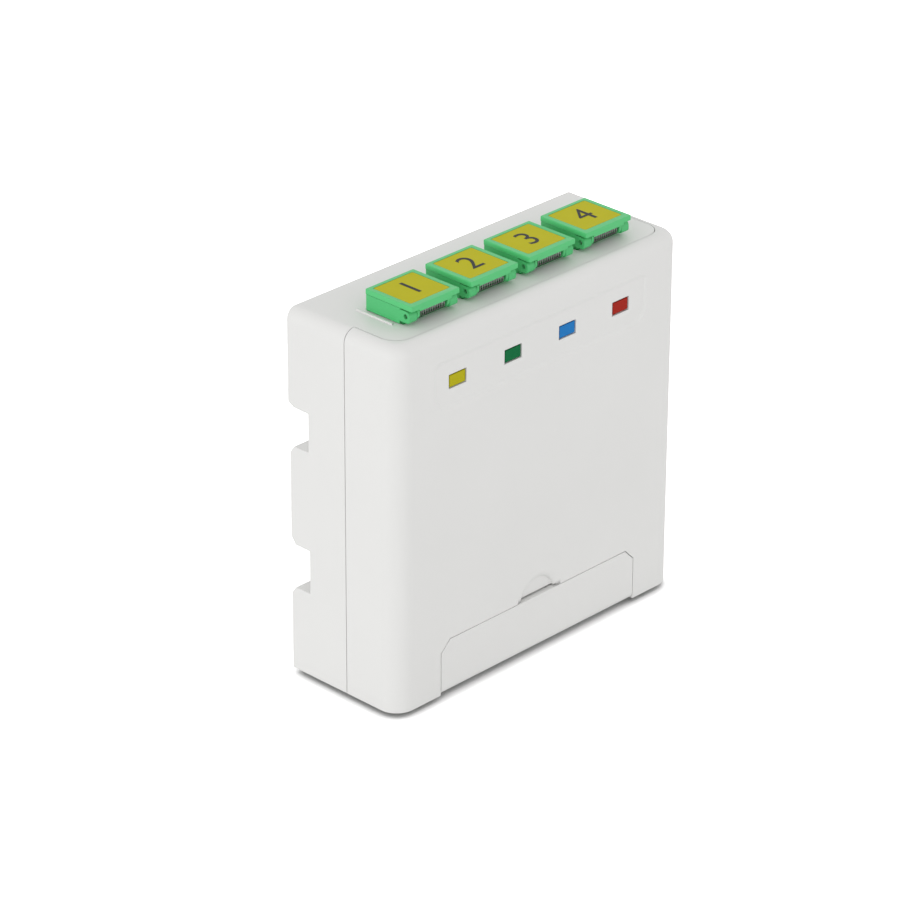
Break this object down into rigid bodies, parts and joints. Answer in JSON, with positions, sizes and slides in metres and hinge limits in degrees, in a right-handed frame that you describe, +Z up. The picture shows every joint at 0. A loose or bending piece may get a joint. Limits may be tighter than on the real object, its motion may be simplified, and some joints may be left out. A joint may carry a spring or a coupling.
{
  "type": "din rail fibre box",
  "caption": "Small splice and patch box for a 35 mm top-hat rail, with a row of single-fibre adapters under sprung flip caps, a pull-off front cover and an entry flap.",
  "frame": {"origin": "under the middle of the box, on the surface that its flat bottom stands on", "axes": "+X to the right along the width, -Y out of the front cover, +Z up through the adapters"},
  "size_m": [0.079, 0.0288, 0.0815],
  "materials": {
    "housing_grey": "moulded satin",
    "cover_grey": "moulded satin",
    "latch_grey": "moulded satin",
    "comb_white": "moulded satin",
    "holder_white": "moulded satin",
    "adapter_green": "moulded semi-gloss",
    "cap_green": "moulded semi-gloss",
    "label_yellow": "printed plate",
    "tag_yellow": "moulded satin",
    "tag_green": "moulded satin",
    "tag_blue": "moulded satin",
    "tag_red": "moulded satin",
    "spring_steel": "dark drawn wire",
    "bright_steel": "plain",
    "sleeve_ceramic": "ground"
  },
  "bodies": {
    "housing": {"rear_housing": "housing_grey", "latch_spring": "spring_steel", "splice_comb": "comb_white", "cable_clamp": "latch_grey", "clamp_screw_1": "bright_steel", "clamp_screw_2": "bright_steel", "adapter_body_1": "adapter_green", "adapter_body_2": "adapter_green", "adapter_body_3": "adapter_green", "adapter_body_4": "adapter_green", "sleeve_holder_1": "holder_white", "sleeve_holder_2": "holder_white", "sleeve_holder_3": "holder_white", "sleeve_holder_4": "holder_white", "split_sleeve_1": "sleeve_ceramic", "split_sleeve_2": "sleeve_ceramic", "split_sleeve_3": "sleeve_ceramic", "split_sleeve_4": "sleeve_ceramic", "adapter_clip_1": "bright_steel", "adapter_clip_2": "bright_steel", "adapter_clip_3": "bright_steel", "adapter_clip_4": "bright_steel", "hinge_pin_1": "bright_steel", "hinge_pin_2": "bright_steel", "hinge_pin_3": "bright_steel", "hinge_pin_4": "bright_steel", "shutter_spring_1": "spring_steel", "shutter_spring_2": "spring_steel", "shutter_spring_3": "spring_steel", "shutter_spring_4": "spring_steel"},
    "cover": {"front_cover": "cover_grey", "colour_tag_1": "tag_yellow", "colour_tag_2": "tag_green", "colour_tag_3": "tag_blue", "colour_tag_4": "tag_red"},
    "flap": {"cable_flap": "cover_grey"},
    "latch": {"rail_latch": "latch_grey"},
    "cap_1": {"shutter_cap_1": "cap_green", "shutter_label_1": "label_yellow"},
    "cap_2": {"shutter_cap_2": "cap_green", "shutter_label_2": "label_yellow"},
    "cap_3": {"shutter_cap_3": "cap_green", "shutter_label_3": "label_yellow"},
    "cap_4": {"shutter_cap_4": "cap_green", "shutter_label_4": "label_yellow"}
  },
  "joints": [
    {"name": "cover_slide", "type": "slide", "parent": "housing", "child": "cover", "axis": [0, -1, 0], "range_m": [0, 0.016]},
    {"name": "flap_hinge", "type": "hinge", "parent": "cover", "child": "flap", "pos_m": [0, -0.01312, 0.0013], "axis": [1, 0, 0], "range_deg": [0, 90]},
    {"name": "latch_slide", "type": "slide", "parent": "housing", "child": "latch", "axis": [0, 0, -1], "range_m": [0, 0.0026], "stiffness_N_per_m": 400, "springref_m": -0.002, "deforming": ["latch_spring"]},
    {"name": "cap_hinge_1", "type": "hinge", "parent": "housing", "child": "cap_1", "pos_m": [-0.02385, -0.00762, 0.07905], "axis": [1, 0, 0], "range_deg": [0, 95], "stiffness_Nm_per_rad": 0.0006, "springref_deg": -45.84, "deforming": ["shutter_spring_1"]},
    {"name": "cap_hinge_2", "type": "hinge", "parent": "housing", "child": "cap_2", "pos_m": [-0.00795, -0.00762, 0.07905], "axis": [1, 0, 0], "range_deg": [0, 95], "stiffness_Nm_per_rad": 0.0006, "springref_deg": -45.84, "deforming": ["shutter_spring_2"]},
    {"name": "cap_hinge_3", "type": "hinge", "parent": "housing", "child": "cap_3", "pos_m": [0.00795, -0.00762, 0.07905], "axis": [1, 0, 0], "range_deg": [0, 95], "stiffness_Nm_per_rad": 0.0006, "springref_deg": -45.84, "deforming": ["shutter_spring_3"]},
    {"name": "cap_hinge_4", "type": "hinge", "parent": "housing", "child": "cap_4", "pos_m": [0.02385, -0.00762, 0.07905], "axis": [1, 0, 0], "range_deg": [0, 95], "stiffness_Nm_per_rad": 0.0006, "springref_deg": -45.84, "deforming": ["shutter_spring_4"]}
  ]
}
